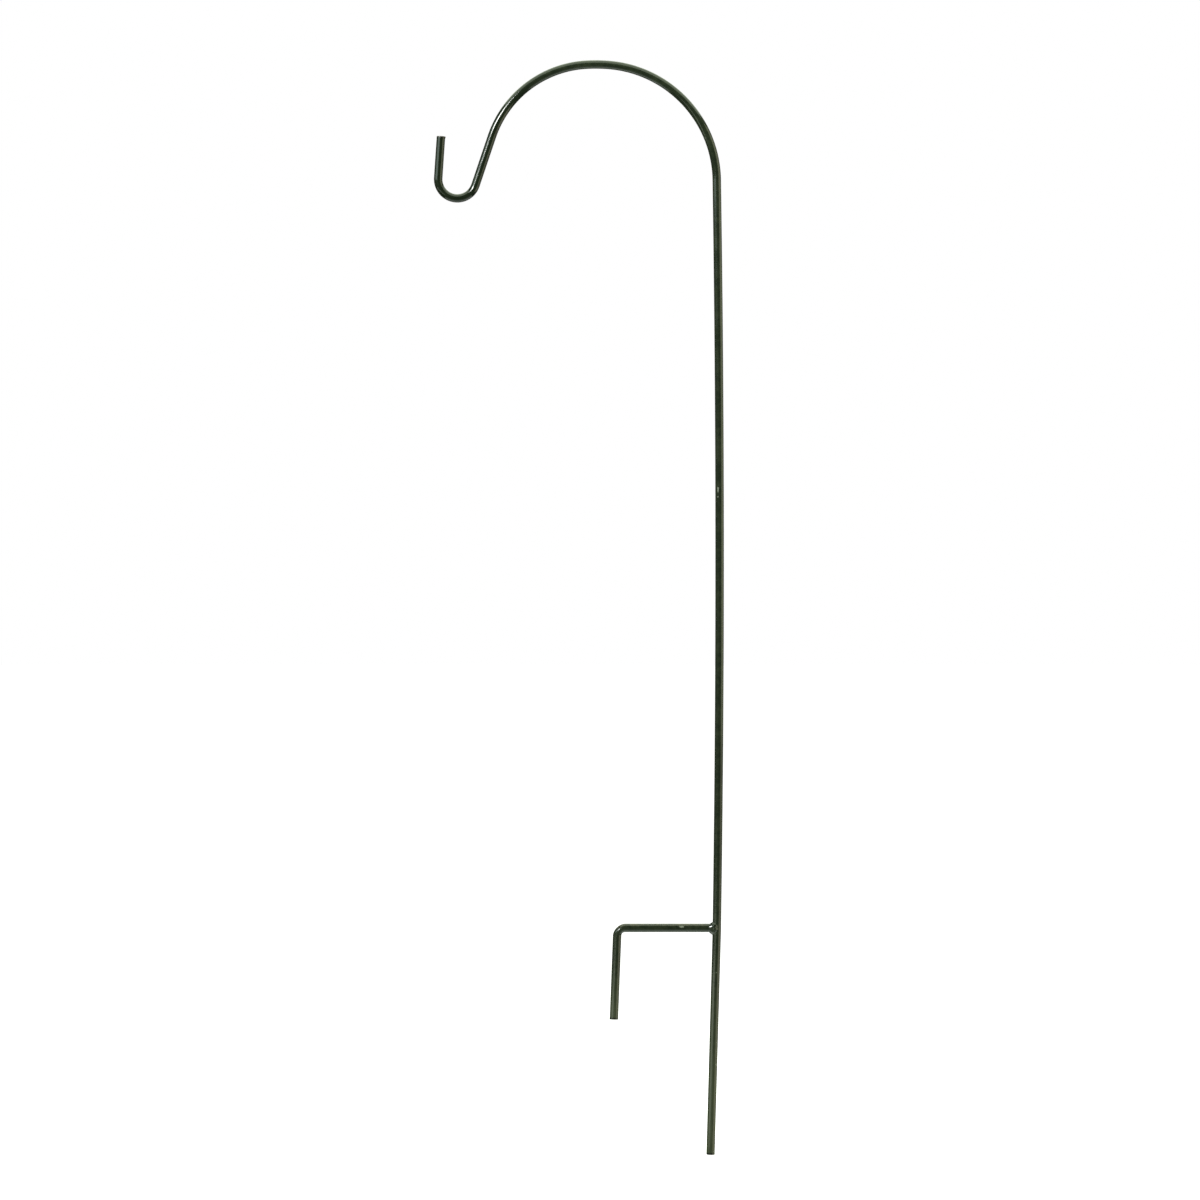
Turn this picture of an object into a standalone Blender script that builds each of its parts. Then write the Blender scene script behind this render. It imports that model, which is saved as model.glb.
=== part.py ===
"""Step-in shepherd's hook: a garden stake that carries a lantern or a flower basket.

One round steel rod is bent into a small hook, a wide crook and a long shaft that ends as a ground
spike. A second, short rod is bent into an L. Its bar is the step that a boot pushes down, and its
prong enters the soil beside the spike, so the stake can't turn. A weld joins the bar to the shaft.

The frame is in metres, with +Z up along the shaft and +X away from the hook. The stake lies flat in
the XZ plane. The origin is on the shaft's axis at the ground line, which is the underside of the bar.
"""

import math

import bmesh
import bpy

# Rod stock. Both rods are 9/32 inch round bar.
SHAFT_ROD_DIAMETER = 0.00714
FOOT_ROD_DIAMETER = 0.00714
END_CHAMFER = 0.0006

# Shaft and spike, measured from the ground line.
SHAFT_HEIGHT = 0.6288
SHAFT_BOW = 0.0024
SPIKE_DEPTH = 0.186
SPIKE_LEAN = math.radians(1.6)

# Crook: a wide bend up to the crown, a short flatter crown, then a tighter bend over the shoulder.
# Radii are to the rod's axis.
CROOK_RADIUS = 0.098
CROOK_SWEEP = math.radians(84.5)
CROWN_RADIUS = 0.138
CROWN_SWEEP = math.radians(8)
SHOULDER_RADIUS = 0.0885
SHOULDER_SWEEP = math.radians(68)

# Hook: a straight drop from the shoulder, a tight bend back upwards and a straight lip.
DROP_LENGTH = 0.043
HOOK_RADIUS = 0.016
HOOK_SWEEP = math.radians(165.2)
LIP_LENGTH = 0.035

# Foot: the step from the shaft's axis to the prong's axis, the corner and the prong.
STEP_WIDTH = 0.0833
FOOT_BEND_RADIUS = 0.007
PRONG_DEPTH = 0.073
PRONG_LEAN = math.radians(2.2)

# Weld bead: how far it stands proud of the rods, above, below, in front and along the bar.
WELD_ABOVE = 0.0016
WELD_BELOW = 0.0025
WELD_FRONT = 0.0016
WELD_ALONG_BAR = 0.0028
WELD_OVER_SHAFT = 0.0012

# Clearance between touching pieces, and the fineness of the faceted solids.
CLEARANCE = 0.0003
ROD_BEVEL_RESOLUTION = 6
SHAFT_STEPS = 12
SPIKE_STEPS = 3
WIDE_BEND_STEP = math.radians(6)
TIGHT_BEND_STEP = math.radians(9)
BEAD_SEGMENTS = 28
BEAD_RINGS = 18

STRAIGHT_UP = math.radians(90)
TOWARDS_HOOK = math.radians(180)


class RodPath:
    """The axis of a bent rod in the XZ plane, laid out the way a bender makes it: runs and bends.

    The heading is an angle from +X towards +Z. A positive sweep turns left as seen looking along +Y.
    """

    def __init__(self, x, z, heading):
        self.points = [(x, z)]
        self.heading = heading

    def run(self, length, steps=1):
        x, z = self.points[-1]
        for step in range(1, steps + 1):
            reach = length * step / steps
            self.points.append((x + reach * math.cos(self.heading), z + reach * math.sin(self.heading)))

    def run_to_end(self, length):
        """A last run whose final stretch is the chamfer of the rod's cut end."""
        self.run(length - END_CHAMFER)
        self.run(END_CHAMFER)

    def bend(self, radius, sweep, largest_step):
        steps = math.ceil(abs(sweep) / largest_step)
        side = math.copysign(radius, sweep)
        x, z = self.points[-1]
        centre_x = x - side * math.sin(self.heading)
        centre_z = z + side * math.cos(self.heading)
        start = self.heading
        for step in range(1, steps + 1):
            self.heading = start + sweep * step / steps
            across = side * math.sin(self.heading)
            along = side * math.cos(self.heading)
            self.points.append((centre_x + across, centre_z - along))


def main_rod_path():
    """Spike tip, ground line, bowed shaft, crook, shoulder, drop, hook and lip, in that order."""
    spike_length = SPIKE_DEPTH / math.cos(SPIKE_LEAN)
    path = RodPath(-SPIKE_DEPTH * math.tan(SPIKE_LEAN), -SPIKE_DEPTH, STRAIGHT_UP - SPIKE_LEAN)
    path.run(END_CHAMFER)
    path.run(spike_length - END_CHAMFER, SPIKE_STEPS)
    # The shaft bows away from the hook by SHAFT_BOW: one arc of a very large radius.
    bow_sweep = 4 * math.atan(2 * SHAFT_BOW / SHAFT_HEIGHT)
    bow_radius = SHAFT_HEIGHT / (2 * math.sin(bow_sweep / 2))
    path.heading = STRAIGHT_UP - bow_sweep / 2
    path.bend(bow_radius, bow_sweep, bow_sweep / SHAFT_STEPS)
    path.bend(CROOK_RADIUS, CROOK_SWEEP, WIDE_BEND_STEP)
    path.bend(CROWN_RADIUS, CROWN_SWEEP, WIDE_BEND_STEP)
    path.bend(SHOULDER_RADIUS, SHOULDER_SWEEP, WIDE_BEND_STEP)
    path.run(DROP_LENGTH, 2)
    path.bend(HOOK_RADIUS, -HOOK_SWEEP, TIGHT_BEND_STEP)
    path.run_to_end(LIP_LENGTH)
    return path


def foot_path(end_gap):
    """The step bar from its butted end to the corner, then the prong down to its tip."""
    bar_height = FOOT_ROD_DIAMETER / 2
    corner_sweep = math.radians(90) - PRONG_LEAN
    corner_x = FOOT_BEND_RADIUS * math.sin(corner_sweep) - STEP_WIDTH
    corner_drop = FOOT_BEND_RADIUS * (1 - math.cos(corner_sweep))
    butt_x = -SHAFT_ROD_DIAMETER / 2 - end_gap
    path = RodPath(butt_x, bar_height, TOWARDS_HOOK)
    path.run(butt_x - corner_x, 3)
    path.bend(FOOT_BEND_RADIUS, corner_sweep, TIGHT_BEND_STEP)
    path.run_to_end((PRONG_DEPTH + bar_height - corner_drop) / math.cos(PRONG_LEAN))
    return path


def new_collection(name):
    collection = bpy.data.collections.new(name)
    bpy.context.scene.collection.children.link(collection)
    return collection


def painted_steel(name, colour, roughness):
    """Enamel over steel: the paint is a dielectric, so the metallic value is 0."""
    material = bpy.data.materials.new(name)
    material.use_nodes = True
    shader = material.node_tree.nodes["Principled BSDF"]
    shader.inputs["Base Color"].default_value = (*colour, 1)
    shader.inputs["Roughness"].default_value = roughness
    shader.inputs["Metallic"].default_value = 0.0
    return material


def rod(name, path, diameter, chamfered_ends, collection):
    """A round rod swept along a path, with filled caps, narrowed at the chamfered ends."""
    curve = bpy.data.curves.new(name, "CURVE")
    curve.dimensions = "3D"
    curve.bevel_depth = diameter / 2
    curve.bevel_resolution = ROD_BEVEL_RESOLUTION
    curve.use_fill_caps = True
    spline = curve.splines.new("POLY")
    spline.points.add(len(path.points) - 1)
    for point, (x, z) in zip(spline.points, path.points):
        point.co = (x, 0, z, 1)
    for end in chamfered_ends:
        spline.points[end].radius = 1 - END_CHAMFER / (diameter / 2)
    spline.use_smooth = True
    obj = bpy.data.objects.new(name, curve)
    collection.objects.link(obj)
    return obj


def clearance_rod(name, path, diameter, collection):
    """A mesh of the same rod, larger all round by the clearance, that cuts room for it in a neighbour."""
    curve_object = rod(name + "_curve", path, diameter + 2 * CLEARANCE, (), collection)
    bpy.context.view_layer.update()
    depsgraph = bpy.context.evaluated_depsgraph_get()
    mesh = bpy.data.meshes.new_from_object(curve_object.evaluated_get(depsgraph))
    cleaned = bmesh.new()
    cleaned.from_mesh(mesh)
    bmesh.ops.remove_doubles(cleaned, verts=cleaned.verts, dist=0.00001)
    cleaned.to_mesh(mesh)
    cleaned.free()
    cutter = bpy.data.objects.new(name, mesh)
    cutter.matrix_world = curve_object.matrix_world
    cutter.hide_render = True
    cutter.display_type = "WIRE"
    collection.objects.link(cutter)
    bpy.data.objects.remove(curve_object)
    return cutter


def weld_bead(name, cutters, collection):
    """A rounded lump over the joint of bar and shaft, cut to fit both rods with the clearance."""
    shaft_radius = SHAFT_ROD_DIAMETER / 2
    foot_radius = FOOT_ROD_DIAMETER / 2
    left = -shaft_radius - WELD_ALONG_BAR
    right = WELD_OVER_SHAFT
    bottom = -WELD_BELOW
    top = FOOT_ROD_DIAMETER + WELD_ABOVE
    half_depth = max(shaft_radius, foot_radius) + WELD_FRONT
    bead = bmesh.new()
    bmesh.ops.create_uvsphere(bead, u_segments=BEAD_SEGMENTS, v_segments=BEAD_RINGS, radius=1)
    bmesh.ops.scale(bead, vec=((right - left) / 2, half_depth, (top - bottom) / 2), verts=bead.verts)
    bmesh.ops.translate(bead, vec=((left + right) / 2, 0, (top + bottom) / 2), verts=bead.verts)
    mesh = bpy.data.meshes.new(name)
    bead.to_mesh(mesh)
    bead.free()
    mesh.shade_smooth()
    obj = bpy.data.objects.new(name, mesh)
    collection.objects.link(obj)
    for cutter in cutters:
        cut = obj.modifiers.new("room_for_" + cutter.name, "BOOLEAN")
        cut.operation = "DIFFERENCE"
        cut.solver = "EXACT"
        cut.object = cutter
    return obj


for old_object in list(bpy.data.objects):
    bpy.data.objects.remove(old_object)

stake = new_collection("shepherds_hook_stake")
cutters = new_collection("cutters")

main_rod = rod("main_rod", main_rod_path(), SHAFT_ROD_DIAMETER, (0, -1), stake)
main_rod.data.materials.append(painted_steel("main_rod_enamel", (0.022, 0.040, 0.024), 0.28))

step_foot = rod("step_foot", foot_path(CLEARANCE), FOOT_ROD_DIAMETER, (-1,), stake)
step_foot.data.materials.append(painted_steel("step_foot_enamel", (0.024, 0.040, 0.026), 0.32))

room_for_shaft = clearance_rod("shaft", main_rod_path(), SHAFT_ROD_DIAMETER, cutters)
room_for_bar = clearance_rod("bar", foot_path(0), FOOT_ROD_DIAMETER, cutters)
weld = weld_bead("weld_bead", (room_for_shaft, room_for_bar), stake)
weld.data.materials.append(painted_steel("weld_bead_enamel", (0.026, 0.044, 0.028), 0.36))
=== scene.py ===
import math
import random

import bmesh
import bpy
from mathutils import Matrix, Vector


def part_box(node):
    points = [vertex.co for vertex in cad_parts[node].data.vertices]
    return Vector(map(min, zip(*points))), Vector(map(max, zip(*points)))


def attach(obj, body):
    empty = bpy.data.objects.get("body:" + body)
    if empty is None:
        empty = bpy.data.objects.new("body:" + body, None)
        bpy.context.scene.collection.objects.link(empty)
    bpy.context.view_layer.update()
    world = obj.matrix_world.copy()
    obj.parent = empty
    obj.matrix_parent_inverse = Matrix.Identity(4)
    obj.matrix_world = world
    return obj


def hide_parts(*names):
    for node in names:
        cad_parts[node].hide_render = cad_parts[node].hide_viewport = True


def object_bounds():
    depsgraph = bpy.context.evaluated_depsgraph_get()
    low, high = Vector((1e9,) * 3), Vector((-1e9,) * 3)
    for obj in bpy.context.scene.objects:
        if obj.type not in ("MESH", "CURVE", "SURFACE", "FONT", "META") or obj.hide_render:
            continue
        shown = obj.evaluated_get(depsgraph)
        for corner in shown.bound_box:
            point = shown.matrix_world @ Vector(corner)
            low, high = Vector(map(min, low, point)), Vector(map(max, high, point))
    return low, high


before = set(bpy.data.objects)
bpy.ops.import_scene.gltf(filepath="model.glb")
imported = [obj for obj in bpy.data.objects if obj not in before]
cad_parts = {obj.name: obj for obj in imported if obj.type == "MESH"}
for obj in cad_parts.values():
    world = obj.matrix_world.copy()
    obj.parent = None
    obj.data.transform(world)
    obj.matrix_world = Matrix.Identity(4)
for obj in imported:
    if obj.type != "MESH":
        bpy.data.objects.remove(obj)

# A step-in shepherd's hook, painted dark green, for a lantern or a flower basket.
#
# The file follows the stake as it is put together: the view first, then the long bent rod, the step
# foot, the weld that joins them and the spatter round it, and last the floor and the studio's lights.
# Everything is in metres, +Z up, with the ground line at z = 0 and the hook and the foot towards -X.

cad_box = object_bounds()
scene = bpy.context.scene


# ---------------------------------------------------------------------------------------------
# The view. The stake is seen square on, from the front and from far enough away that it shows
# no perspective: its whole plane of bending faces the lens.
VIEW_DISTANCE = 4.0
VIEW_WIDTH = 1.0032
VIEW_CENTRE_X = -0.0976
VIEW_CENTRE_Z = 0.2777
SENSOR_WIDTH_MM = 36.0
VIEW_REACH = 60.0

lens = bpy.data.cameras.new("front_view")
lens.sensor_width = SENSOR_WIDTH_MM
lens.lens = SENSOR_WIDTH_MM * VIEW_DISTANCE / VIEW_WIDTH
lens.clip_end = VIEW_REACH
front_view = bpy.data.objects.new("front_view", lens)
front_view.location = (VIEW_CENTRE_X, -VIEW_DISTANCE, VIEW_CENTRE_Z)
front_view.rotation_euler = (math.radians(90), 0, 0)
scene.collection.objects.link(front_view)
scene.camera = front_view
scene.view_settings.view_transform = "Standard"


# ---------------------------------------------------------------------------------------------
# The long rod: one length of 9/32 inch round steel bar, bent cold on a bench. It runs from the
# blunt end of the ground spike up the bowed shaft, over the crook and round the small hook to the
# sheared end of its lip. The spike leans a little, because the weld pulled the shaft as it cooled.
ROD_RADIUS = 0.00357
SHAFT_HEIGHT = 0.6288
SHAFT_BOW = 0.0024
SPIKE_LEAN = math.radians(1.6)
CROOK_BENDS = ((0.098, math.radians(84.5)), (0.138, math.radians(8)), (0.0885, math.radians(68)))
DROP_LENGTH = 0.043
HOOK_RADIUS = 0.016
HOOK_SWEEP = math.radians(165.2)
LIP_LENGTH = 0.035
SPIKE_DEPTH = -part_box("main_rod")[0].z

# A sheared end is a low dome with a rounded edge: first the dome's rings, as their share of its
# height and of its width, and then the turns of the rings round the edge, in degrees.
SHEARED_EDGE = 0.00045
SHEARED_DOME = 0.00012
DOME_RINGS = ((0, 0.25), (0.3, 0.65), (1, 1))
EDGE_RINGS = (22, 45, 68, 90)
LIP_BURR = 0.0005
LIP_BURR_REACH = 0.0024
LIP_BURR_SIDE = (1.0, 0.0, 0.0)
ROD_SIDES = 40
RING_SPACING = 0.0016
SHAFT_RING_SPACING = 0.006
UPRIGHT = math.radians(90)


class BentRod:
    """The axis of a rod as the bench lays it out. Each ring is x, z, bend (1 / radius) and swell."""

    def __init__(self, x, z, heading):
        self.x = x
        self.z = z
        self.heading = heading
        self.rings = []
        for reach, swell in self.sheared_end():
            self.ring_ahead(reach, swell)
        self.end_reach = SHEARED_DOME + SHEARED_EDGE
        self.x += self.end_reach * math.cos(heading)
        self.z += self.end_reach * math.sin(heading)

    @staticmethod
    def sheared_end():
        """How far in each ring of a cut end lies, and its share of the rod's full radius."""
        flat = 1 - SHEARED_EDGE / ROD_RADIUS
        rings = [(SHEARED_DOME * height, flat * width) for height, width in DOME_RINGS]
        for degrees in EDGE_RINGS:
            turn = math.radians(degrees)
            reach = SHEARED_DOME + SHEARED_EDGE * (1 - math.cos(turn))
            rings.append((reach, flat + (1 - flat) * math.sin(turn)))
        return rings

    def ring(self, x, z, bend, swell=1):
        self.rings.append((x, z, bend, swell))

    def ring_ahead(self, reach, swell=1):
        """A ring straight ahead on the present heading, at this reach from where the rod has got to."""
        self.ring(self.x + reach * math.cos(self.heading), self.z + reach * math.sin(self.heading), 0, swell)

    def run(self, length, spacing=RING_SPACING):
        """A straight of this length."""
        steps = max(1, round(length / spacing))
        for step in range(1, steps + 1):
            self.ring_ahead(length * step / steps)
        self.x, self.z = self.rings[-1][:2]

    def bend(self, radius, sweep, spacing=RING_SPACING):
        """A bend through this angle, to the left where it is positive. Its tightness eases in and out."""
        steps = max(1, round(radius * abs(sweep) / spacing))
        side = math.copysign(radius, sweep)
        centre_x = self.x - side * math.sin(self.heading)
        centre_z = self.z + side * math.cos(self.heading)
        start = self.heading
        for step in range(1, steps + 1):
            self.heading = start + sweep * step / steps
            across = side * math.sin(self.heading)
            along = side * math.cos(self.heading)
            eased = math.sin(math.pi * step / steps)
            self.ring(centre_x + across, centre_z - along, eased / side)
        self.x, self.z = self.rings[-1][:2]

    def run_to_end(self, length):
        """The last straight, and then the rings of the cut end in the other order."""
        self.run(length - self.end_reach)
        for reach, swell in reversed(self.sheared_end()[:-1]):
            self.ring_ahead(self.end_reach - reach, swell)

    def axis_mesh(self, name):
        """The axis as a chain of edges that carries each ring's bend and swell."""
        mesh = bpy.data.meshes.new(name)
        places = [(x, 0, z) for x, z, bend, swell in self.rings]
        mesh.from_pydata(places, [(i, i + 1) for i in range(len(places) - 1)], [])
        for column, attribute in ((2, "bend"), (3, "swell")):
            layer = mesh.attributes.new(attribute, "FLOAT", "POINT")
            layer.data.foreach_set("value", [ring[column] for ring in self.rings])
        return mesh


def add(tree, kind, inputs=None, **settings):
    """One node in a tree. An input is either a value or the socket of another node that feeds it."""
    node = tree.nodes.new(kind)
    for setting, value in settings.items():
        setattr(node, setting, value)
    for socket, value in (inputs or {}).items():
        if isinstance(value, bpy.types.NodeSocket):
            tree.links.new(value, node.inputs[socket])
        else:
            node.inputs[socket].default_value = value
    return node


def maths(tree, operation, first, second=0.0, clamp=False):
    node = add(tree, "ShaderNodeMath", {0: first, 1: second}, operation=operation, use_clamp=clamp)
    return node.outputs[0]


def vector_maths(tree, operation, first, second=(0, 0, 0), output=0, scale=None):
    node = add(tree, "ShaderNodeVectorMath", {0: first, 1: second}, operation=operation)
    if isinstance(scale, bpy.types.NodeSocket):
        tree.links.new(scale, node.inputs["Scale"])
    elif scale is not None:
        node.inputs["Scale"].default_value = scale
    return node.outputs[output]


def ramp(tree, value, from_low, from_high, to_low=0.0, to_high=1.0):
    """A smooth step of a value from one range to another."""
    node = add(
        tree,
        "ShaderNodeMapRange",
        {"Value": value, "From Min": from_low, "From Max": from_high, "To Min": to_low, "To Max": to_high},
        interpolation_type="SMOOTHSTEP",
    )
    return node.outputs["Result"]


def noise(tree, place, scale, detail):
    return add(tree, "ShaderNodeTexNoise", {"Vector": place, "Scale": scale, "Detail": detail}).outputs["Fac"]


def mixed(tree, share, first, second, kind="RGBA"):
    """The first colour or value with the second laid over it by a share from 0 to 1."""
    node = add(tree, "ShaderNodeMix", {"Factor": share, "A": first, "B": second}, data_type=kind)
    return node.outputs["Result"]


def new_group(name, kind, inputs, outputs):
    """A node group with named inputs and outputs. Each input is its name, type and first value."""
    group = bpy.data.node_groups.new(name, kind)
    for label, socket_type, value in inputs:
        socket = group.interface.new_socket(label, in_out="INPUT", socket_type=socket_type)
        if value is not None:
            socket.default_value = value
    for label, socket_type in outputs:
        group.interface.new_socket(label, in_out="OUTPUT", socket_type=socket_type)
    return group, group.nodes.new("NodeGroupInput").outputs, group.nodes.new("NodeGroupOutput").inputs


# How many marks or runs there are to the metre: across the rod, across it and along it.
DRAWING_GRAIN = (900, 900, 22)
PAINT_RUNS = (150, 150, 60)
# The burr rises from this far round to its own side of the rod, as the cosine of the angle.
BURR_EDGE = 0.35
# The near end is no share of the rod's length, and the length can't be worked out from that.
LEAST_SHARE = 0.001
# The faces along the rod have four corners, and the flat at each end has more.
FEWEST_END_CORNERS = 5.0


def swept_rod_tree():
    """Sweeps a round section along an axis, and gives it what drawing, bending and shearing leave."""
    tree, given, made = new_group(
        "swept_rod",
        "GeometryNodeTree",
        (
            ("Geometry", "NodeSocketGeometry", None),
            ("Rod Radius", "NodeSocketFloat", ROD_RADIUS),
            ("Sides", "NodeSocketInt", ROD_SIDES),
            ("Bend Flattening", "NodeSocketFloat", 0.3),
            ("Drawing Marks", "NodeSocketFloat", 0.000015),
            ("Paint Thickness Change", "NodeSocketFloat", 0.00003),
            ("Burr", "NodeSocketFloat", 0.0),
            ("Burr Reach", "NodeSocketFloat", 0.002),
            ("Burr Side", "NodeSocketVector", (1, 0, 0)),
            ("Paint", "NodeSocketMaterial", None),
        ),
        (("Geometry", "NodeSocketGeometry"),),
    )

    def stored(name):
        return add(tree, "GeometryNodeInputNamedAttribute", {"Name": name}, data_type="FLOAT").outputs[0]

    # What each ring knows about itself travels with it on to the swept surface.
    axis = add(tree, "GeometryNodeMeshToCurve", {"Mesh": given["Geometry"]})
    ring = add(tree, "GeometryNodeCaptureAttribute", {"Geometry": axis.outputs[0]}, domain="POINT")
    for kind, label in (("VECTOR", "Centre"), ("FLOAT", "Along"), ("FLOAT", "Share"), ("FLOAT", "Bend")):
        ring.capture_items.new(kind, label)
    travelled = tree.nodes.new("GeometryNodeSplineParameter")
    tree.links.new(tree.nodes.new("GeometryNodeInputPosition").outputs[0], ring.inputs["Centre"])
    tree.links.new(travelled.outputs["Length"], ring.inputs["Along"])
    tree.links.new(travelled.outputs["Factor"], ring.inputs["Share"])
    tree.links.new(stored("bend"), ring.inputs["Bend"])

    section = add(
        tree,
        "GeometryNodeCurvePrimitiveCircle",
        {"Resolution": given["Sides"], "Radius": given["Rod Radius"]},
    )
    around = add(tree, "GeometryNodeCaptureAttribute", {"Geometry": section.outputs[0]}, domain="POINT")
    around.capture_items.new("VECTOR", "Section")
    tree.links.new(tree.nodes.new("GeometryNodeInputPosition").outputs[0], around.inputs["Section"])
    swept = add(
        tree,
        "GeometryNodeCurveToMesh",
        {
            "Curve": ring.outputs["Geometry"],
            "Profile Curve": around.outputs["Geometry"],
            "Scale": stored("swell"),
            "Fill Caps": True,
        },
    )

    # The straightened rod: across it in x and y, along it in z. The paint's pattern is laid in it.
    section_split = add(tree, "ShaderNodeSeparateXYZ", {0: around.outputs["Section"]})
    straightened = add(
        tree,
        "ShaderNodeCombineXYZ",
        {0: section_split.outputs[0], 1: section_split.outputs[1], 2: ring.outputs["Along"]},
    ).outputs[0]

    # A bend flattens the section: narrower in the plane of the bend, and wider across it.
    place = tree.nodes.new("GeometryNodeInputPosition").outputs[0]
    offset = vector_maths(tree, "SUBTRACT", place, ring.outputs["Centre"])
    tightness = maths(tree, "MULTIPLY", given["Rod Radius"], ring.outputs["Bend"])
    tightness_squared = maths(tree, "MULTIPLY", tightness, tightness)
    flattening = maths(tree, "MULTIPLY", tightness_squared, given["Bend Flattening"])
    in_plane = maths(tree, "SUBTRACT", 1.0, flattening)
    across_plane = maths(tree, "ADD", 1.0, flattening)
    squeeze = add(tree, "ShaderNodeCombineXYZ", {0: in_plane, 1: across_plane, 2: in_plane}).outputs[0]
    outward = vector_maths(tree, "NORMALIZE", offset)
    flattened = vector_maths(tree, "MULTIPLY", offset, squeeze)

    # Drawing marks run along the rod, and the dipped paint lies a little thicker in some places.
    marks = noise(tree, vector_maths(tree, "MULTIPLY", straightened, DRAWING_GRAIN), 1.0, 1.0)
    marks_height = maths(tree, "MULTIPLY", maths(tree, "SUBTRACT", marks, 0.5), given["Drawing Marks"])
    pooled = noise(tree, vector_maths(tree, "MULTIPLY", straightened, PAINT_RUNS), 1.0, 0.0)
    uneven = maths(tree, "SUBTRACT", pooled, 0.5)
    paint_height = maths(tree, "MULTIPLY", uneven, given["Paint Thickness Change"])
    proud = maths(tree, "ADD", marks_height, paint_height)

    # The shear leaves a burr on one side of the far end.
    share = maths(tree, "MAXIMUM", ring.outputs["Share"], LEAST_SHARE)
    whole_length = maths(tree, "DIVIDE", ring.outputs["Along"], share)
    to_far_end = maths(tree, "SUBTRACT", whole_length, ring.outputs["Along"])
    near_end = ramp(tree, to_far_end, given["Burr Reach"], 0.0)
    facing = vector_maths(tree, "DOT_PRODUCT", outward, given["Burr Side"], output="Value")
    burr_side = ramp(tree, facing, BURR_EDGE, 1.0)
    burr = maths(tree, "MULTIPLY", maths(tree, "MULTIPLY", near_end, burr_side), given["Burr"])
    proud = maths(tree, "ADD", proud, burr)

    # The proud metal and paint fade out over the face of a cut end.
    width = vector_maths(tree, "LENGTH", offset, output="Value")
    full_width = maths(tree, "DIVIDE", width, given["Rod Radius"], clamp=True)
    raised = vector_maths(tree, "SCALE", outward, scale=maths(tree, "MULTIPLY", proud, full_width))
    finished = vector_maths(tree, "ADD", flattened, raised)
    surface = vector_maths(tree, "ADD", ring.outputs["Centre"], finished)
    moved = add(tree, "GeometryNodeSetPosition", {"Geometry": swept.outputs[0], "Position": surface})

    # Each point keeps its place on the straightened rod and its distance to the nearer cut end.
    to_end = maths(tree, "MINIMUM", to_far_end, ring.outputs["Along"])
    geometry = moved.outputs[0]
    for label, kind, value in (("rod_space", "FLOAT_VECTOR", straightened), ("to_end", "FLOAT", to_end)):
        geometry = add(
            tree,
            "GeometryNodeStoreNamedAttribute",
            {"Geometry": geometry, "Name": label, "Value": value},
            data_type=kind,
            domain="POINT",
        ).outputs[0]
    corners = tree.nodes.new("GeometryNodeInputMeshFaceNeighbors").outputs["Vertex Count"]
    is_side = maths(tree, "LESS_THAN", corners, FEWEST_END_CORNERS)
    smooth = add(tree, "GeometryNodeSetShadeSmooth", {"Geometry": geometry, "Shade Smooth": is_side})
    solid = add(tree, "GeometryNodeRealizeInstances", {"Geometry": smooth.outputs[0]})
    painted = add(
        tree, "GeometryNodeSetMaterial", {"Geometry": solid.outputs[0], "Material": given["Paint"]}
    )
    tree.links.new(painted.outputs[0], made["Geometry"])
    return tree


swept_rod = swept_rod_tree()


def made_by_nodes(name, source_mesh, tree, values):
    """Runs a node tree on a mesh with the given values, and keeps the result as a plain mesh."""
    raw = bpy.data.objects.new(name + "_raw", source_mesh)
    scene.collection.objects.link(raw)
    modifier = raw.modifiers.new(tree.name, "NODES")
    modifier.node_group = tree
    for item in tree.interface.items_tree:
        if item.in_out == "INPUT" and item.name in values:
            modifier[item.identifier] = values[item.name]
    bpy.context.view_layer.update()
    evaluated = raw.evaluated_get(bpy.context.evaluated_depsgraph_get())
    mesh = bpy.data.meshes.new_from_object(evaluated)
    mesh.name = name
    raw.modifiers.remove(modifier)
    bpy.data.objects.remove(raw)
    piece = bpy.data.objects.new(name, mesh)
    scene.collection.objects.link(piece)
    return piece


# The enamel's patterns to the metre: its fine mottle, its broad patches, and its streaks across the
# rod, across it and along it. Then how much each of them counts in where the paint is thin.
MOTTLE_SCALE = 240.0
PATCH_SCALE = 45.0
STREAK_GRAIN = (1500, 1500, 30)
MOTTLE_SHARE = 0.6
PATCH_SHARE = 0.4
STREAK_SHARE = 0.25
THIN_FROM = 0.38
THIN_FULL = 0.64
# Dust settles where the surface faces up by this much or more, on specks of the mottle.
DUST_FROM_UP = 0.35
SPECKS_FROM = 0.36
SPECKS_FULL = 0.64
DUST_DULLS = 0.8
GLOSS_FROM = 0.35
GLOSS_FULL = 0.65
STREAK_HEIGHT = 0.5


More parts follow.
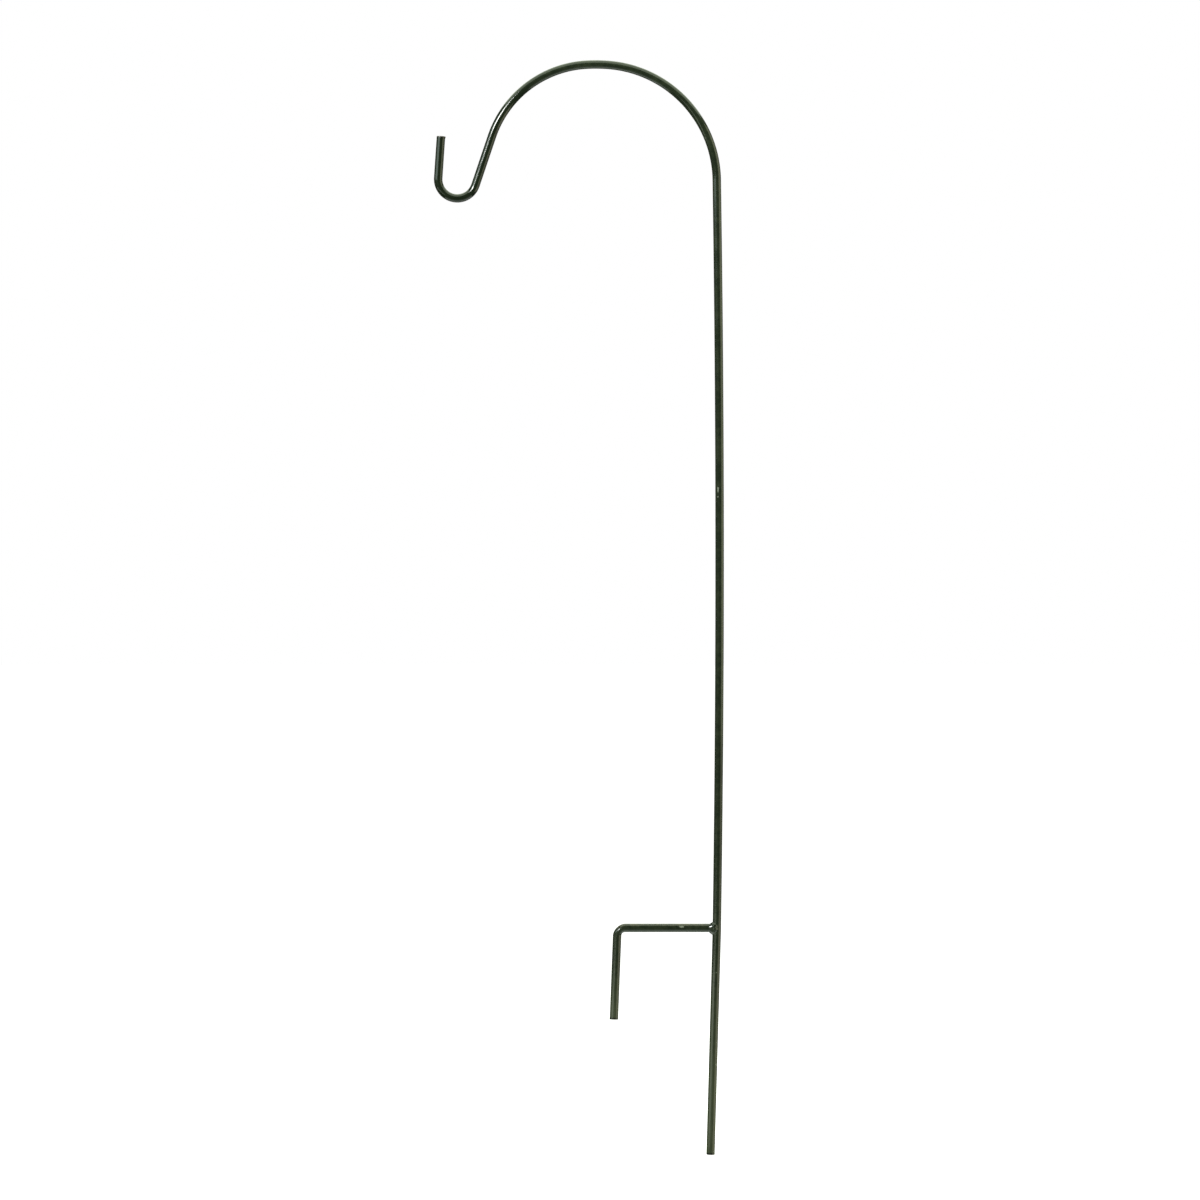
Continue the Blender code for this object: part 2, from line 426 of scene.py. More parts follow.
def enamel_skin_group():
    """Dipped gloss enamel: mottled colour, faint streaks along the bar, orange peel and dust on top."""
    group, given, made = new_group(
        "enamel_skin",
        "ShaderNodeTree",
        (
            ("Coordinates", "NodeSocketVector", None),
            ("Deep Green", "NodeSocketColor", (0.012, 0.019, 0.0095, 1)),
            ("Thin Green", "NodeSocketColor", (0.026, 0.035, 0.018, 1)),
            ("Dust", "NodeSocketColor", (0.15, 0.145, 0.11, 1)),
            ("Dust Amount", "NodeSocketFloat", 0.1),
            ("Gloss Low", "NodeSocketFloat", 0.09),
            ("Gloss High", "NodeSocketFloat", 0.17),
            ("Peel Size", "NodeSocketFloat", 0.0011),
        ),
        (
            ("Colour", "NodeSocketColor"),
            ("Roughness", "NodeSocketFloat"),
            ("Height", "NodeSocketFloat"),
        ),
    )
    place = given["Coordinates"]
    mottle = noise(group, place, MOTTLE_SCALE, 4.0)
    patches = noise(group, place, PATCH_SCALE, 2.0)
    streaks = noise(group, vector_maths(group, "MULTIPLY", place, STREAK_GRAIN), 1.0, 2.0)
    peel = noise(group, place, maths(group, "DIVIDE", 1.0, given["Peel Size"]), 1.0)

    mottle_part = maths(group, "MULTIPLY", mottle, MOTTLE_SHARE)
    patch_part = maths(group, "MULTIPLY", patches, PATCH_SHARE)
    streak_part = maths(group, "MULTIPLY", maths(group, "SUBTRACT", streaks, 0.5), STREAK_SHARE)
    thinness = maths(group, "ADD", maths(group, "ADD", mottle_part, patch_part), streak_part)
    thinness = ramp(group, thinness, THIN_FROM, THIN_FULL)
    painted = mixed(group, thinness, given["Deep Green"], given["Thin Green"])

    outward = group.nodes.new("ShaderNodeNewGeometry").outputs["Normal"]
    up = add(group, "ShaderNodeSeparateXYZ", {0: outward}).outputs["Z"]
    settled = ramp(group, up, DUST_FROM_UP, 1.0)
    specks = ramp(group, mottle, SPECKS_FROM, SPECKS_FULL)
    dusty = maths(group, "MULTIPLY", maths(group, "MULTIPLY", settled, specks), given["Dust Amount"])
    gloss = ramp(group, patches, GLOSS_FROM, GLOSS_FULL, given["Gloss Low"], given["Gloss High"])
    dulled = maths(group, "ADD", gloss, maths(group, "MULTIPLY", dusty, DUST_DULLS))
    height = maths(group, "ADD", peel, maths(group, "MULTIPLY", streaks, STREAK_HEIGHT))
    group.links.new(mixed(group, dusty, painted, given["Dust"]), made["Colour"])
    group.links.new(dulled, made["Roughness"])
    group.links.new(height, made["Height"])
    return group


# The rough edge of a nick: its scale to the metre and its reach. The nick is full inside the share
# NICK_FULL of its half size, and gone outside NICK_EDGE.
RAGGED_SCALE = 1500.0
RAGGED_REACH = 4.0
NICK_FULL = 0.75
NICK_EDGE = 1.05


def nick_group():
    """A ragged oval nick or scuff in the paint at one place on the surface."""
    group, given, made = new_group(
        "paint_nick",
        "ShaderNodeTree",
        (
            ("Place", "NodeSocketVector", None),
            ("Half Size", "NodeSocketVector", (0.001, 0.002, 0.001)),
            ("Ragged", "NodeSocketFloat", 0.5),
        ),
        (("Mask", "NodeSocketFloat"),),
    )
    here = add(group, "ShaderNodeTexCoord").outputs["Object"]
    from_centre = vector_maths(group, "SUBTRACT", here, given["Place"])
    away = vector_maths(group, "DIVIDE", from_centre, given["Half Size"])
    distance = vector_maths(group, "LENGTH", away, output="Value")
    rough = maths(group, "SUBTRACT", noise(group, here, RAGGED_SCALE, 3.0), 0.5)
    ragged = maths(group, "MULTIPLY", rough, maths(group, "MULTIPLY", given["Ragged"], RAGGED_REACH))
    edge = maths(group, "ADD", distance, ragged)
    group.links.new(ramp(group, edge, NICK_EDGE, NICK_FULL), made["Mask"])
    return group


# A cut end is worn where fine chips of paint and nearness to the end add up to this much.
CHIP_SCALE = 900.0
CHIPPED_FROM = 0.20
CHIPPED_FULL = 0.26


def worn_end_group():
    """Paint knocked off round a cut end: ragged, and gone a few millimetres away from it."""
    group, given, made = new_group(
        "worn_end",
        "ShaderNodeTree",
        (("To End", "NodeSocketFloat", 0.0), ("Reach", "NodeSocketFloat", 0.002)),
        (("Mask", "NodeSocketFloat"),),
    )
    here = add(group, "ShaderNodeTexCoord").outputs["Object"]
    chips = noise(group, here, CHIP_SCALE, 4.0)
    near = ramp(group, given["To End"], given["Reach"], 0.0)
    chance = maths(group, "ADD", maths(group, "SUBTRACT", chips, 1.0), near)
    group.links.new(ramp(group, chance, CHIPPED_FROM, CHIPPED_FULL), made["Mask"])
    return group


# Soil scratches to the metre, across the rod, across it and along it, and the dulling between them.
SCRATCH_GRAIN = (1800, 1800, 50)
SCRATCH_FROM = 0.35
SCRATCH_FULL = 0.65
BETWEEN_SCRATCHES = 0.45


def soil_scuff_group():
    """Fine scratches along the rod below the ground line, where soil has dulled the paint."""
    group, given, made = new_group(
        "soil_scuff",
        "ShaderNodeTree",
        (
            ("Coordinates", "NodeSocketVector", None),
            ("Starts At", "NodeSocketFloat", 0.0),
            ("Full At", "NodeSocketFloat", -0.02),
        ),
        (("Mask", "NodeSocketFloat"),),
    )
    here = add(group, "ShaderNodeTexCoord").outputs["Object"]
    height = add(group, "ShaderNodeSeparateXYZ", {0: here}).outputs["Z"]
    buried = ramp(group, height, given["Starts At"], given["Full At"])
    scratches = noise(group, vector_maths(group, "MULTIPLY", given["Coordinates"], SCRATCH_GRAIN), 1.0, 3.0)
    share = ramp(group, scratches, SCRATCH_FROM, SCRATCH_FULL, BETWEEN_SCRATCHES, 1.0)
    group.links.new(maths(group, "MULTIPLY", buried, share), made["Mask"])
    return group


enamel_skin = enamel_skin_group()
paint_nick = nick_group()
worn_end = worn_end_group()
soil_scuff = soil_scuff_group()

BARE_STEEL = (0.105, 0.098, 0.085, 1)
STEEL_ROUGHNESS = 0.45
STEEL_METALLIC = 0.85
CHIP_DEPTH = 3.0
SCUFFED_PAINT = (0.20, 0.22, 0.17, 1)
SCUFF_ROUGHNESS = 0.5
SOIL_DULLED_PAINT = (0.075, 0.088, 0.050, 1)
SOIL_ROUGHENS = 0.16
# The colour of the painted shade towards the hook.
HOOK_SHADE_GREEN = (0.003, 0.0085, 0.002, 1)
# Painted shade: the paint is darkened round each cut end, from this far in to this far in.
END_PAINTED_SHADE = (0.006, 0.0075, 0.005, 1)
END_SHADE_FROM = 0.0022
END_SHADE_FULL = 0.0013
END_SHADE_SHARE = 0.95
PEEL_STRENGTH = 0.06
PEEL_HEIGHT = 0.0004
COAT = 0.35
COAT_ROUGHNESS = 0.05


def enamel(name, skin_values, nicks=(), end_wear=0.0, soil=None, hook_shade=None, coordinates="rod_space"):
    """Green enamel over steel: dulled by soil, scuffed pale at each nick, chipped to steel at its ends, and
    where asked darkened with painted shade round its ends and towards the hook.

    soil is the height where soil begins to dull it, the height where it is full, and its share.
    hook_shade is how far along the rod the painted shade towards the hook begins, where it is full, and its
    share.
    """
    material = bpy.data.materials.new(name)
    material.use_nodes = True
    tree = material.node_tree
    shader = tree.nodes["Principled BSDF"]
    place = add(tree, "ShaderNodeAttribute", attribute_name=coordinates).outputs["Vector"]
    skin = add(tree, "ShaderNodeGroup", {"Coordinates": place, **skin_values}, node_tree=enamel_skin)
    colour = skin.outputs["Colour"]
    roughness = skin.outputs["Roughness"]
    height = skin.outputs["Height"]
    # Painted shade: the colour darkens along the rod towards the hook.
    if hook_shade:
        hook_shade_from, hook_shade_full, hook_shade_share = hook_shade
        along = add(tree, "ShaderNodeSeparateXYZ", {0: place}).outputs["Z"]
        colour = mixed(tree, ramp(tree, along, hook_shade_from, hook_shade_full, 0.0, hook_shade_share), colour, HOOK_SHADE_GREEN)
    if soil:
        soil_from, soil_full, soil_share = soil
        below_ground = {"Coordinates": place, "Starts At": soil_from, "Full At": soil_full}
        scuff = add(tree, "ShaderNodeGroup", below_ground, node_tree=soil_scuff)
        dulled = maths(tree, "MULTIPLY", scuff.outputs["Mask"], soil_share)
        colour = mixed(tree, dulled, colour, SOIL_DULLED_PAINT)
        roughness = maths(tree, "ADD", roughness, maths(tree, "MULTIPLY", dulled, SOIL_ROUGHENS))
    for centre, half_size in nicks:
        oval = {"Place": centre, "Half Size": half_size}
        nick = add(tree, "ShaderNodeGroup", oval, node_tree=paint_nick).outputs["Mask"]
        colour = mixed(tree, nick, colour, SCUFFED_PAINT)
        roughness = mixed(tree, nick, roughness, SCUFF_ROUGHNESS, "FLOAT")
    if end_wear:
        to_end = add(tree, "ShaderNodeAttribute", attribute_name="to_end").outputs["Fac"]
        # Painted shade: the colour darkens close to each cut end.
        bead = ramp(tree, to_end, END_SHADE_FROM, END_SHADE_FULL)
        colour = mixed(tree, maths(tree, "MULTIPLY", bead, END_SHADE_SHARE), colour, END_PAINTED_SHADE)
        edge = {"To End": to_end, "Reach": end_wear}
        worn = add(tree, "ShaderNodeGroup", edge, node_tree=worn_end).outputs["Mask"]
        colour = mixed(tree, worn, colour, BARE_STEEL)
        roughness = mixed(tree, worn, roughness, STEEL_ROUGHNESS, "FLOAT")
        height = maths(tree, "SUBTRACT", height, maths(tree, "MULTIPLY", worn, CHIP_DEPTH))
        metallic = maths(tree, "MULTIPLY", worn, STEEL_METALLIC)
        tree.links.new(metallic, shader.inputs["Metallic"])
    peel = {"Height": height, "Strength": PEEL_STRENGTH, "Distance": PEEL_HEIGHT}
    bump = add(tree, "ShaderNodeBump", peel)
    tree.links.new(colour, shader.inputs["Base Color"])
    tree.links.new(roughness, shader.inputs["Roughness"])
    tree.links.new(bump.outputs[0], shader.inputs["Normal"])
    shader.inputs["Coat Weight"].default_value = COAT
    shader.inputs["Coat Roughness"].default_value = COAT_ROUGHNESS
    return material


# Each nick is its centre and its half size, on the side of the rod that faces front.
FRONT = -ROD_RADIUS
SHAFT_NICKS = (
    ((0.0010, FRONT, 0.3700), (0.0007, 0.003, 0.0022)),
    ((0.0009, FRONT, 0.3640), (0.0005, 0.003, 0.0006)),
    ((-0.0004, FRONT, -0.0334), (0.0003, 0.003, 0.0005)),
    ((0.0002, FRONT, -0.1106), (0.0013, 0.005, 0.0011)),
)

LONG_ROD_END_WEAR = 0.0025
SPIKE_SOIL = (0.01, -0.15, 0.85)
# Painted shade: the paint's colour darkens along the rod towards the hook, from where it begins to where it
# is full, by its share.
HOOK_PAINTED_SHADE = (0.98, 1.06, 0.65)
LONG_ROD_DUST = {"Dust Amount": 0.10}

long_rod_axis = BentRod(-SPIKE_DEPTH * math.tan(SPIKE_LEAN), -SPIKE_DEPTH, UPRIGHT - SPIKE_LEAN)
long_rod_axis.run(SPIKE_DEPTH / math.cos(SPIKE_LEAN) - long_rod_axis.end_reach, SHAFT_RING_SPACING)
bow_sweep = 4 * math.atan(2 * SHAFT_BOW / SHAFT_HEIGHT)
long_rod_axis.heading = UPRIGHT - bow_sweep / 2
long_rod_axis.bend(SHAFT_HEIGHT / (2 * math.sin(bow_sweep / 2)), bow_sweep, SHAFT_RING_SPACING)
for radius, sweep in CROOK_BENDS:
    long_rod_axis.bend(radius, sweep)
long_rod_axis.run(DROP_LENGTH)
long_rod_axis.bend(HOOK_RADIUS, -HOOK_SWEEP, RING_SPACING / 2)
long_rod_axis.run_to_end(LIP_LENGTH)

long_rod_paint = enamel(
    "long_rod_enamel", LONG_ROD_DUST, SHAFT_NICKS, LONG_ROD_END_WEAR, SPIKE_SOIL, HOOK_PAINTED_SHADE
)
long_rod = made_by_nodes(
    "long_rod",
    long_rod_axis.axis_mesh("long_rod_axis"),
    swept_rod,
    {
        "Rod Radius": ROD_RADIUS,
        "Sides": ROD_SIDES,
        "Burr": LIP_BURR,
        "Burr Reach": LIP_BURR_REACH,
        "Burr Side": LIP_BURR_SIDE,
        "Paint": long_rod_paint,
    },
)
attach(long_rod, "root")
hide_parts("main_rod")


# ---------------------------------------------------------------------------------------------
# The step foot: a short piece of the same bar, bent to an L round a small former. A boot presses on
# the level bar, and the prong goes into the soil beside the spike, so the stake can't turn. Boots
# have scuffed the bar and left soil dried on top of it.
FOOT_BEND_RADIUS = 0.007
PRONG_LEAN = math.radians(2.2)
STEP_WIDTH = 0.0833
PRONG_DEPTH = -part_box("step_foot")[0].z
BUTT_END_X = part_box("step_foot")[1].x

PRONG_BURR = 0.0002
PRONG_BURR_SIDE = (-1.0, 0.0, 0.0)
STEP_NICKS = (((-0.0296, FRONT, 0.0047), (0.0021, 0.003, 0.0008)),)
FOOT_END_WEAR = 0.003
PRONG_SOIL = (-0.02, -0.075, 0.9)
DRIED_SOIL = {"Dust": (0.20, 0.165, 0.105, 1), "Dust Amount": 0.42, "Gloss High": 0.2}

corner_sweep = UPRIGHT - PRONG_LEAN
corner_x = FOOT_BEND_RADIUS * math.sin(corner_sweep) - STEP_WIDTH
corner_drop = FOOT_BEND_RADIUS * (1 - math.cos(corner_sweep))
foot_axis = BentRod(BUTT_END_X, ROD_RADIUS, 2 * UPRIGHT)
foot_axis.run(BUTT_END_X - corner_x - foot_axis.end_reach, SHAFT_RING_SPACING / 2)
foot_axis.bend(FOOT_BEND_RADIUS, corner_sweep, RING_SPACING / 4)
foot_axis.run_to_end((PRONG_DEPTH + ROD_RADIUS - corner_drop) / math.cos(PRONG_LEAN))

foot_paint = enamel("step_foot_enamel", DRIED_SOIL, STEP_NICKS, FOOT_END_WEAR, PRONG_SOIL)
foot_rod = made_by_nodes(
    "foot_rod",
    foot_axis.axis_mesh("foot_axis"),
    swept_rod,
    {
        "Rod Radius": ROD_RADIUS,
        "Sides": ROD_SIDES,
        "Burr": PRONG_BURR,
        "Burr Side": PRONG_BURR_SIDE,
        "Paint": foot_paint,
    },
)
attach(foot_rod, "root")
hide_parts("step_foot")


# ---------------------------------------------------------------------------------------------
# The weld: one bead run round the end of the bar, with its ripples, where it butts on the shaft. It
# fills the notch between the flat end and the round shaft, and is dipped in the same enamel.
WELD_TOE_ON_BAR = {"front": 0.0036, "top": 0.0021, "back": 0.0023, "bottom": 0.0025}
WELD_TOE_ABOVE = 0.0018
WELD_TOE_BELOW = 0.0022
WELD_WRAP_FRONT = math.radians(106)
WELD_WRAP_BACK = math.radians(92)
# How the toes wander on the way round: waves to the turn, start and reach.
WELD_WANDER = ((3, 0.6, 0.0003), (7, 0, 0.0002))
# The crown stands this proud on the front, on the back and at the bead's top and bottom. Its crest
# lies this share of the way from the bar's toe to the shaft's.
WELD_CROWN_FRONT = 0.00132
WELD_CROWN_BACK = 0.0008
WELD_CROWN_EDGES = -0.0001
WELD_CREST = 0.52
WELD_CROWN_FALL = 1.5
WELD_SLOPE = 0.82
# The ripples: how many to the turn, how much they sway and curve, and where they fade.
WELD_RIPPLES = 26
WELD_RIPPLE_HEIGHT = 0.00007
WELD_RIPPLE_SWAY = 1.1
WELD_RIPPLE_CURVE = 2.6
WELD_RIPPLE_SHARPNESS = 1.5
WELD_RIPPLE_STRENGTH = 0.75
WELD_RIPPLE_FADING = 0.45
WELD_RIPPLE_FADES = ((2, 2.2), (5, 0.8))
# Low lumps at random places on the bead, at these shares of the way across it and of these heights.
WELD_LUMP_SEED = 11
WELD_LUMPS = 9
WELD_LUMP_PLACES = (0.2, 0.9)
WELD_LUMP_HEIGHTS = (0.00005, 0.00018)
WELD_LUMP_SPREAD = 0.28
# What the welder left on the front, as x, z, radius and height: two dabs, a crater and two hollows.
WELD_FRONT_MARKS = (
    (-0.0011, 0.0023, 0.0011, 0.00035),
    (-0.0012, -0.0014, 0.0010, 0.00025),
    (-0.0033, 0.0036, 0.0007, -0.00035),
    (-0.0004, 0.0043, 0.0008, -0.00035),
    (-0.0049, 0.0071, 0.0006, -0.00030),
)
# The toes sink into both rods by this much, over the outer sixth of the way across on each side.
WELD_SINK = 0.0002
WELD_SINK_WITHIN = 6
# Ripples and lumps fade out where the bead is under a quarter of its height. The root lies this deep.
WELD_MARKS_FADE = 4
WELD_ROOT_DEPTH = 0.0012
WELD_ROOT_STEPS = 3
WELD_STEPS_AROUND = 276
WELD_STEPS_ACROSS = 24
WELD_PAINT = {"Dust Amount": 0.05, "Gloss Low": 0.08, "Gloss High": 0.16, "Peel Size": 0.0008}
BAR_Z = ROD_RADIUS


def shaft_lean_at(z):
    """The shaft's axis close to the ground line: it bows away above it and leans back below it."""
    if z < 0:
        return z * math.tan(SPIKE_LEAN)
    return z * math.tan(bow_sweep / 2)


def weld_toes(turn):
    """Where the bead's two toes lie at one turn round the bar, and which way out is on each rod."""
    front = math.cos(turn)
    up = math.sin(turn)
    wander = sum(reach * math.sin(waves * turn + start) for waves, start, reach in WELD_WANDER)
    toe = WELD_TOE_ON_BAR["front" if front > 0 else "back"] * front ** 2
    toe += WELD_TOE_ON_BAR["top" if up > 0 else "bottom"] * up ** 2
    bar_toe = Vector((-ROD_RADIUS - toe - wander, -ROD_RADIUS * front, BAR_Z + ROD_RADIUS * up))
    bar_out = Vector((0, bar_toe.y, bar_toe.z - BAR_Z)) / ROD_RADIUS
    toe_z = BAR_Z + up * (ROD_RADIUS + wander + (WELD_TOE_ABOVE if up > 0 else WELD_TOE_BELOW))
    wrap = (WELD_WRAP_FRONT if front > 0 else WELD_WRAP_BACK) * front
    shaft_out = Vector((-math.cos(wrap), -math.sin(wrap), 0))
    shaft_toe = Vector((shaft_lean_at(toe_z), 0, toe_z)) + shaft_out * ROD_RADIUS
    return bar_toe, bar_out, shaft_toe, shaft_out


def weld_arch(share):
    """The bead's height across it: nearly straight up from the bar's toe, and round down to the shaft's."""
    if share < WELD_CREST:
        return 1 - (1 - share / WELD_CREST) ** WELD_SLOPE
    return math.cos(math.pi / 2 * (share - WELD_CREST) / (1 - WELD_CREST))


def weld_ripple(turn, share):
    """How far the ripples rise above the bead or dip into it, as curved crests that fade and return."""
    sway = WELD_RIPPLE_SWAY * math.sin(2 * turn)
    crescent = turn * WELD_RIPPLES + sway + WELD_RIPPLE_CURVE * (2 * share - 1) ** 2
    fade = math.prod(math.sin(waves * turn + start) for waves, start in WELD_RIPPLE_FADES)
    strength = WELD_RIPPLE_STRENGTH + WELD_RIPPLE_FADING * fade
    return WELD_RIPPLE_HEIGHT * strength * (abs(math.cos(crescent / 2)) ** WELD_RIPPLE_SHARPNESS - 0.5)


def weld_lump(lumps, turn, share):
    """How far the low lumps together rise at one place on the bead."""
    height = 0.0
    for lump_turn, lump_share, lump_height in lumps:
        gap = math.remainder(turn - lump_turn, math.tau) / WELD_LUMP_SPREAD
        height += lump_height * math.exp(-(gap ** 2) - ((share - lump_share) / WELD_LUMP_SPREAD) ** 2)
    return height


def weld_front_mark(place):
    """How far the welder's own marks rise or dip at one place, on the front only."""
    return sum(
        height * math.exp(-((place.x - x) ** 2 + (place.z - z) ** 2) / radius ** 2)
        for x, z, radius, height in WELD_FRONT_MARKS
        if place.y < 0
    )


def weld_mesh(name):
    """A closed ring: the rippled face from the bar's toe to the shaft's toe, and a root inside them."""
    rng = random.Random(WELD_LUMP_SEED)
    lumps = [
        (rng.uniform(0, math.tau), rng.uniform(*WELD_LUMP_PLACES), rng.uniform(*WELD_LUMP_HEIGHTS))
        for _ in range(WELD_LUMPS)
    ]
    mesh = bmesh.new()
    rings = []
    for step in range(WELD_STEPS_AROUND):
        turn = math.tau * step / WELD_STEPS_AROUND
        bar_toe, bar_out, shaft_toe, shaft_out = weld_toes(turn)
        crown_side = WELD_CROWN_FRONT if bar_toe.y < 0 else WELD_CROWN_BACK
        facing = abs(math.cos(turn)) ** WELD_CROWN_FALL
        crown = WELD_CROWN_EDGES + (crown_side - WELD_CROWN_EDGES) * facing
        ring = []
        for across in range(WELD_STEPS_ACROSS + 1):
            share = across / WELD_STEPS_ACROSS
            place = bar_toe.lerp(shaft_toe, share)
            out = bar_out.lerp(shaft_out, share).normalized()
            arch = weld_arch(share)
            marks = weld_ripple(turn, share) * arch + weld_front_mark(place) + weld_lump(lumps, turn, share)
            sink = WELD_SINK * (1 - min(1.0, WELD_SINK_WITHIN * share, WELD_SINK_WITHIN * (1 - share)))
            place += out * (crown * arch + marks * min(1.0, WELD_MARKS_FADE * arch) - sink)
            ring.append(mesh.verts.new(place))
        root_on_shaft = shaft_toe - shaft_out * WELD_ROOT_DEPTH
        root_on_bar = bar_toe - bar_out * WELD_ROOT_DEPTH
        for inside in range(WELD_ROOT_STEPS + 1):
            ring.append(mesh.verts.new(root_on_shaft.lerp(root_on_bar, inside / WELD_ROOT_STEPS)))
        rings.append(ring)
    count = len(rings[0])
    for this, following in zip(rings, rings[1:] + rings[:1]):
        for i in range(count):
            j = (i + 1) % count
            mesh.faces.new((this[i], this[j], following[j], following[i]))
    bmesh.ops.recalc_face_normals(mesh, faces=mesh.faces)
    result = bpy.data.meshes.new(name)
    mesh.to_mesh(result)
    mesh.free()
    result.shade_smooth()
    return result


weld_paint = enamel("weld_enamel", WELD_PAINT, coordinates="weld_space")
weld = bpy.data.objects.new("weld", weld_mesh("weld"))
scene.collection.objects.link(weld)
weld_space = weld.data.attributes.new("weld_space", "FLOAT_VECTOR", "POINT")
weld_space.data.foreach_set("vector", [number for corner in weld.data.vertices for number in corner.co])
weld.data.materials.append(weld_paint)
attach(weld, "root")
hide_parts("weld_bead")


# ---------------------------------------------------------------------------------------------
# Spatter: beads of steel that flew off the weld and stuck to both rods near it. They were left on
# and dipped with the rest, so each one is a smooth bump under the same enamel.
SPATTER_REACH = 0.0125
SPATTER_SPACING = 0.0011
SPATTER_RADIUS = 0.00034
SPATTER_SEED = 8
# The most beads to the square metre, how few of them are left on, and the share of the reach within
# which they are thickest.
SPATTER_CROWD = 400000.0
SPATTER_LEFT_ON = 0.14
SPATTER_THICKEST = 0.4
# Each bead is wider one way than the other, and flattened where it struck: shares of its radius.
SPATTER_SMALLEST = (0.6, 0.5, 0.35)
SPATTER_LARGEST = (1.5, 1.2, 0.75)
SPATTER_ROUNDNESS = 3


def spatter_tree():
    """Beads scattered over the rods round the joint, thinning out to nothing at their reach."""
    tree, given, made = new_group(
        "weld_spatter",
        "GeometryNodeTree",
        (
            ("Geometry", "NodeSocketGeometry", None),
            ("Joint", "NodeSocketVector", (0, 0, 0)),
            ("Reach", "NodeSocketFloat", 0.01),
            ("Least Spacing", "NodeSocketFloat", 0.001),
            ("Bead Radius", "NodeSocketFloat", 0.0003),
            ("Seed", "NodeSocketInt", 0),
            ("Paint", "NodeSocketMaterial", None),
        ),
        (("Geometry", "NodeSocketGeometry"),),
    )
    place = tree.nodes.new("GeometryNodeInputPosition").outputs[0]
    away = vector_maths(tree, "DISTANCE", place, given["Joint"], output="Value")
    thickest = maths(tree, "MULTIPLY", given["Reach"], SPATTER_THICKEST)
    chance = ramp(tree, away, given["Reach"], thickest)
    scattered = add(
        tree,
        "GeometryNodeDistributePointsOnFaces",
        {
            "Mesh": given["Geometry"],
            "Distance Min": given["Least Spacing"],
            "Density Max": SPATTER_CROWD,
            "Density Factor": maths(tree, "MULTIPLY", chance, SPATTER_LEFT_ON),
            "Seed": given["Seed"],
        },
        distribute_method="POISSON",
    )
    bead = add(
        tree,
        "GeometryNodeMeshIcoSphere",
        {"Radius": given["Bead Radius"], "Subdivisions": SPATTER_ROUNDNESS},
    )
    size = add(
        tree,
        "FunctionNodeRandomValue",
        {"Min": SPATTER_SMALLEST, "Max": SPATTER_LARGEST, "Seed": given["Seed"]},
        data_type="FLOAT_VECTOR",
    )
    beads = add(
        tree,
        "GeometryNodeInstanceOnPoints",
        {
            "Points": scattered.outputs["Points"],
            "Instance": bead.outputs["Mesh"],
            "Rotation": scattered.outputs["Rotation"],
            "Scale": size.outputs[0],
        },
    )
    solid = add(tree, "GeometryNodeRealizeInstances", {"Geometry": beads.outputs[0]})
    smooth = add(tree, "GeometryNodeSetShadeSmooth", {"Geometry": solid.outputs[0]})
    laid = add(
        tree,
        "GeometryNodeStoreNamedAttribute",
        {"Geometry": smooth.outputs[0], "Name": "weld_space", "Value": place},
        data_type="FLOAT_VECTOR",
        domain="POINT",
    )
    painted = add(
        tree, "GeometryNodeSetMaterial", {"Geometry": laid.outputs[0], "Material": given["Paint"]}
    )
    tree.links.new(painted.outputs[0], made["Geometry"])
    return tree


both_rods = bmesh.new()
both_rods.from_mesh(long_rod.data)
both_rods.from_mesh(foot_rod.data)
rods_near_joint = bpy.data.meshes.new("rods_near_joint")
both_rods.to_mesh(rods_near_joint)
both_rods.free()
spatter = made_by_nodes(
    "spatter",
    rods_near_joint,
    spatter_tree(),
    {
        "Joint": (-ROD_RADIUS, 0, BAR_Z),
        "Reach": SPATTER_REACH,
        "Least Spacing": SPATTER_SPACING,
        "Bead Radius": SPATTER_RADIUS,
        "Seed": SPATTER_SEED,
        "Paint": weld_paint,
    },
)
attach(spatter, "root")


# ---------------------------------------------------------------------------------------------
# The floor and the studio: a plain pale floor under the spike, one small bright window high up to the
# left of the lens, a tall soft wall of windows left of the stake and a warm one right of it, and soft
# light from overhead, from the ground and from in front.
FLOOR_SIZE = 60.0
FLOOR_GAP = 0.0005
FLOOR_COLOUR = (0.9, 0.9, 0.9, 1)
FLOOR_ROUGHNESS = 0.9
WHITE = (1, 1, 1, 1)
SURROUNDINGS_COLOUR = (0.85, 0.95, 0.75, 1)
SURROUNDINGS_STRENGTH = 0.10

floor_mesh = bmesh.new()
bmesh.ops.create_grid(floor_mesh, x_segments=1, y_segments=1, size=FLOOR_SIZE / 2)
bmesh.ops.translate(floor_mesh, vec=(0, 0, cad_box[0][2] - FLOOR_GAP), verts=floor_mesh.verts)
floor_data = bpy.data.meshes.new("studio_floor")
floor_mesh.to_mesh(floor_data)
floor_mesh.free()
floor = bpy.data.objects.new("studio_floor", floor_data)
scene.collection.objects.link(floor)
floor_paint = bpy.data.materials.new("studio_floor")
floor_paint.use_nodes = True
floor_shader = floor_paint.node_tree.nodes["Principled BSDF"]
floor_shader.inputs["Base Color"].default_value = FLOOR_COLOUR
floor_shader.inputs["Roughness"].default_value = FLOOR_ROUGHNESS
floor_shader.inputs["Specular IOR Level"].default_value = 0.0
floor_shader.inputs["Emission Color"].default_value = WHITE
floor_shader.inputs["Emission Strength"].default_value = 1.0
floor_data.materials.append(floor_paint)
floor.visible_diffuse = False
floor.visible_glossy = False
floor.visible_shadow = False

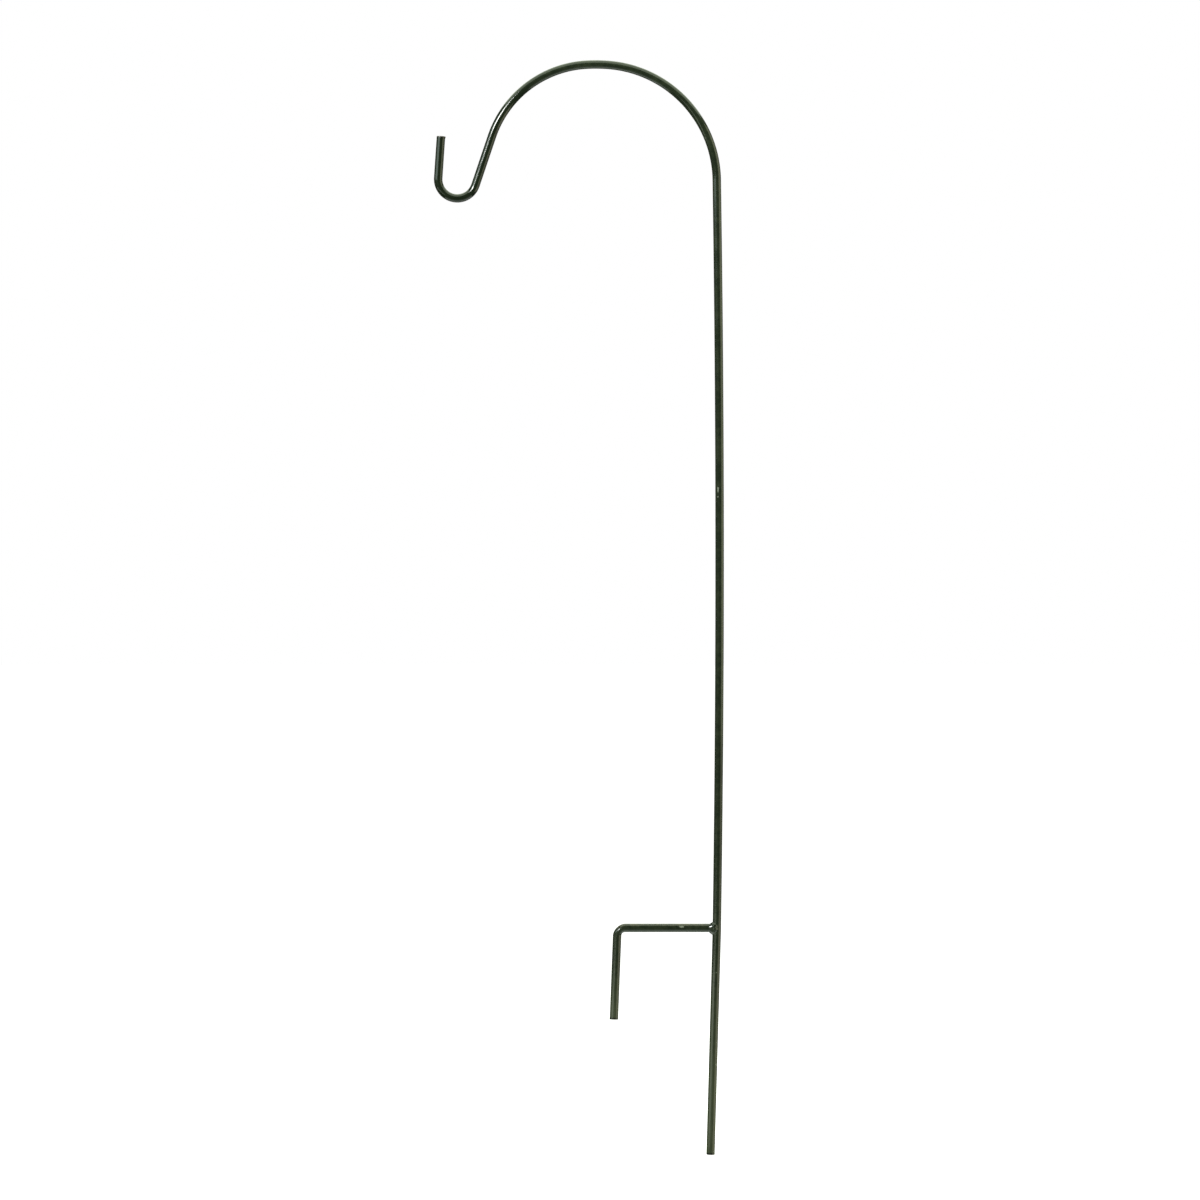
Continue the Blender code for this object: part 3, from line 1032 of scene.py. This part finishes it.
# The lens sees a white backdrop. The stake is lit by dim, slightly green surroundings in its place.
world = bpy.data.worlds.new("studio")
world.use_nodes = True
scene.world = world
air = world.node_tree
backdrop = air.nodes["Background"]
backdrop.inputs["Color"].default_value = WHITE
dim_green = {"Color": SURROUNDINGS_COLOUR, "Strength": SURROUNDINGS_STRENGTH}
surroundings = add(air, "ShaderNodeBackground", dim_green)
seen = air.nodes.new("ShaderNodeLightPath").outputs["Is Camera Ray"]
choice = add(air, "ShaderNodeMixShader", {0: seen, 1: surroundings.outputs[0], 2: backdrop.outputs[0]})
air.links.new(choice.outputs[0], air.nodes["World Output"].inputs["Surface"])


def soft_light(name, place, aim, width, height, radiance, colour):
    """A flat panel of even brightness that faces its aim and is never seen by the lens itself."""
    data = bpy.data.lights.new(name, "AREA")
    data.shape = "RECTANGLE"
    data.size = width
    data.size_y = height
    data.color = colour
    data.energy = radiance * math.pi * width * height
    panel = bpy.data.objects.new(name, data)
    panel.location = place
    panel.rotation_euler = (Vector(place) - Vector(aim)).to_track_quat("Z", "Y").to_euler()
    panel.visible_camera = False
    scene.collection.objects.link(panel)


# Each panel is its place, what it faces, its width and height, its brightness and its colour.
soft_light("key_window", (-2.78, -3.84, 2.55), (-0.19, 0, 0.70), 1.76, 0.78, 37.0, (1.0, 1.0, 0.96))
soft_light("upper_window", (-2.28, -1.59, 1.62), (-0.29, 0.08, 1.62), 2.8, 1.62, 2.05, (0.82, 1.0, 0.92))
soft_light("middle_wall", (-2.22, -1.67, 0.31), (-0.23, 0, 0.31), 3.0, 0.94, 0.06, (0.88, 1.0, 0.88))
soft_light("low_window", (-2.22, -1.67, -0.29), (-0.23, 0, -0.29), 3.0, 0.24, 1.9, (0.92, 1.0, 0.82))
soft_light("warm_wall", (2.2, -0.35, 1.08), (0, 0, 1.08), 2.7, 2.0, 1.45, (0.96, 1.0, 0.68))
soft_light("warm_wall_gap", (2.2, -0.35, -0.03), (0, 0, -0.03), 2.7, 0.22, 0.7, (1.0, 0.95, 0.70))
soft_light("warm_wall_foot", (2.2, -0.35, -0.52), (0, 0, -0.52), 2.7, 0.76, 1.25, (1.0, 0.98, 0.70))
soft_light("overhead", (-0.05, 0.45, 1.15), (-0.05, 0.45, 0.0), 1.3, 1.9, 1.6, (0.89, 1.0, 0.78))
soft_light("ground_bounce", (-0.1, 0.20, -0.75), (-0.1, 0.20, 0.0), 2.4, 1.0, 1.25, (0.9, 1.0, 0.88))
soft_light("front_bounce", (-0.1, -0.9, -0.75), (-0.1, -0.9, 0.0), 2.4, 1.1, 0.35, (0.86, 1.0, 0.88))
